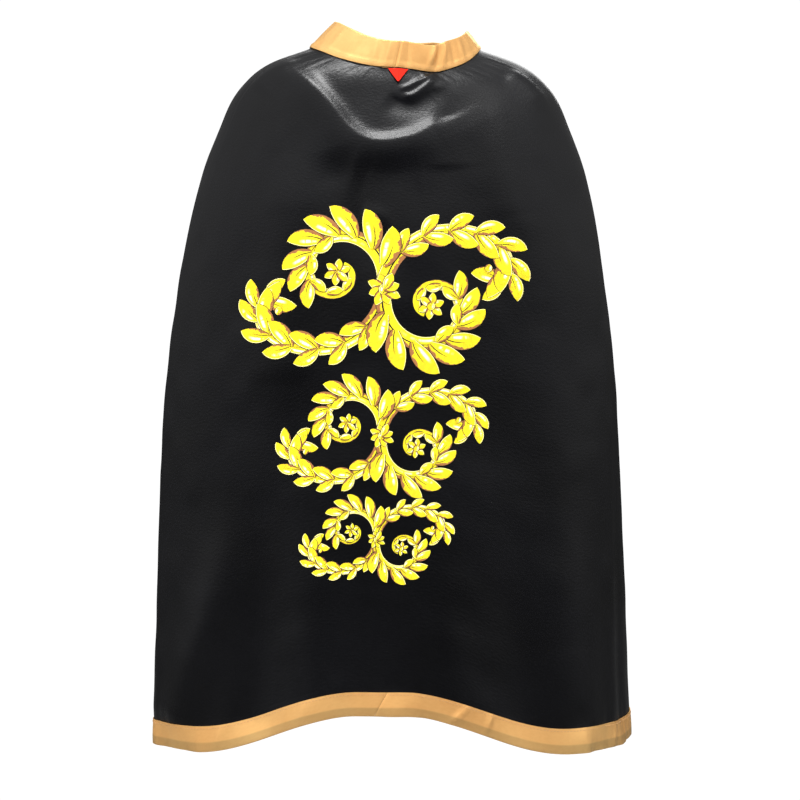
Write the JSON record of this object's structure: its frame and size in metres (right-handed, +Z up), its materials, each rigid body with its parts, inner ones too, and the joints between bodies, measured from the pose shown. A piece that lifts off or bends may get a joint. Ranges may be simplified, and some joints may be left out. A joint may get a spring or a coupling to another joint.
{
  "type": "superhero cape",
  "caption": "Child's costume cape of black satin, closed at the neck by a gold stand collar, with a gold band folded round the hem and printed leaf scrolls down the back.",
  "frame": {"origin": "middle of the neck opening, at the height of the neck seam's two sides", "axes": "+Z up along the wearer's spine, -Y out of the printed back, +Y out of the open front, +X to the right when the printed back is seen"},
  "size_m": [0.4656, 0.2316, 0.705],
  "materials": {
    "black_satin": "satin, shiny face out",
    "gold_satin": "satin, shiny face out",
    "interfacing": "matt non-woven",
    "gold_thread": "spun thread",
    "black_thread": "spun thread",
    "fastener_tape": "matt nylon pile",
    "tag_ribbon": "woven ribbon",
    "label_ribbon": "satin ribbon",
    "print_film": "flexible transfer film"
  },
  "bodies": {
    "back": {"back_panel": "black_satin", "collar_band_left_rear": "gold_satin", "collar_band_right_rear": "gold_satin", "hem_band_left_rear": "gold_satin", "hem_band_right_rear": "gold_satin", "collar_interfacing_rear": "interfacing", "collar_topstitch_rear": "gold_thread", "hem_topstitch_rear": "gold_thread", "print_large": "print_film", "print_medium": "print_film", "print_small": "print_film"},
    "left_front": {"left_front_panel": "black_satin", "collar_band_left_front": "gold_satin", "hem_band_left_front": "gold_satin", "collar_interfacing_left": "interfacing", "collar_topstitch_left": "gold_thread", "hem_topstitch_left": "gold_thread", "front_edge_topstitch_left": "black_thread", "hook_tape": "fastener_tape"},
    "right_front": {"right_front_panel": "black_satin", "collar_band_right_front": "gold_satin", "hem_band_right_front": "gold_satin", "collar_interfacing_right": "interfacing", "collar_topstitch_right": "gold_thread", "hem_topstitch_right": "gold_thread", "front_edge_topstitch_right": "black_thread", "loop_tape": "fastener_tape"},
    "neck_tag": {"neck_tag": "tag_ribbon"},
    "care_label": {"care_label": "label_ribbon"}
  },
  "joints": [
    {"name": "left_front_swing", "type": "hinge", "parent": "back", "child": "left_front", "pos_m": [-0.04558, 0.04304, -0.014], "axis": [0.0804, -0.0969, 0.992], "range_deg": [0, 115]},
    {"name": "right_front_swing", "type": "hinge", "parent": "back", "child": "right_front", "pos_m": [0.04558, 0.04304, -0.014], "axis": [-0.0804, -0.0969, 0.992], "range_deg": [-115, 0]},
    {"name": "neck_tag_flip", "type": "hinge", "parent": "back", "child": "neck_tag", "pos_m": [0.003, -0.0516, -0.0262], "axis": [-1, 0, 0], "range_deg": [0, 120]},
    {"name": "care_label_flip", "type": "hinge", "parent": "back", "child": "care_label", "pos_m": [-0.004, -0.0466, -0.0285], "axis": [1, 0, 0], "range_deg": [-4, 90]}
  ],
  "couplings": [
    {"joint": "right_front_swing", "follows": "left_front_swing", "ratio": -1}
  ]
}
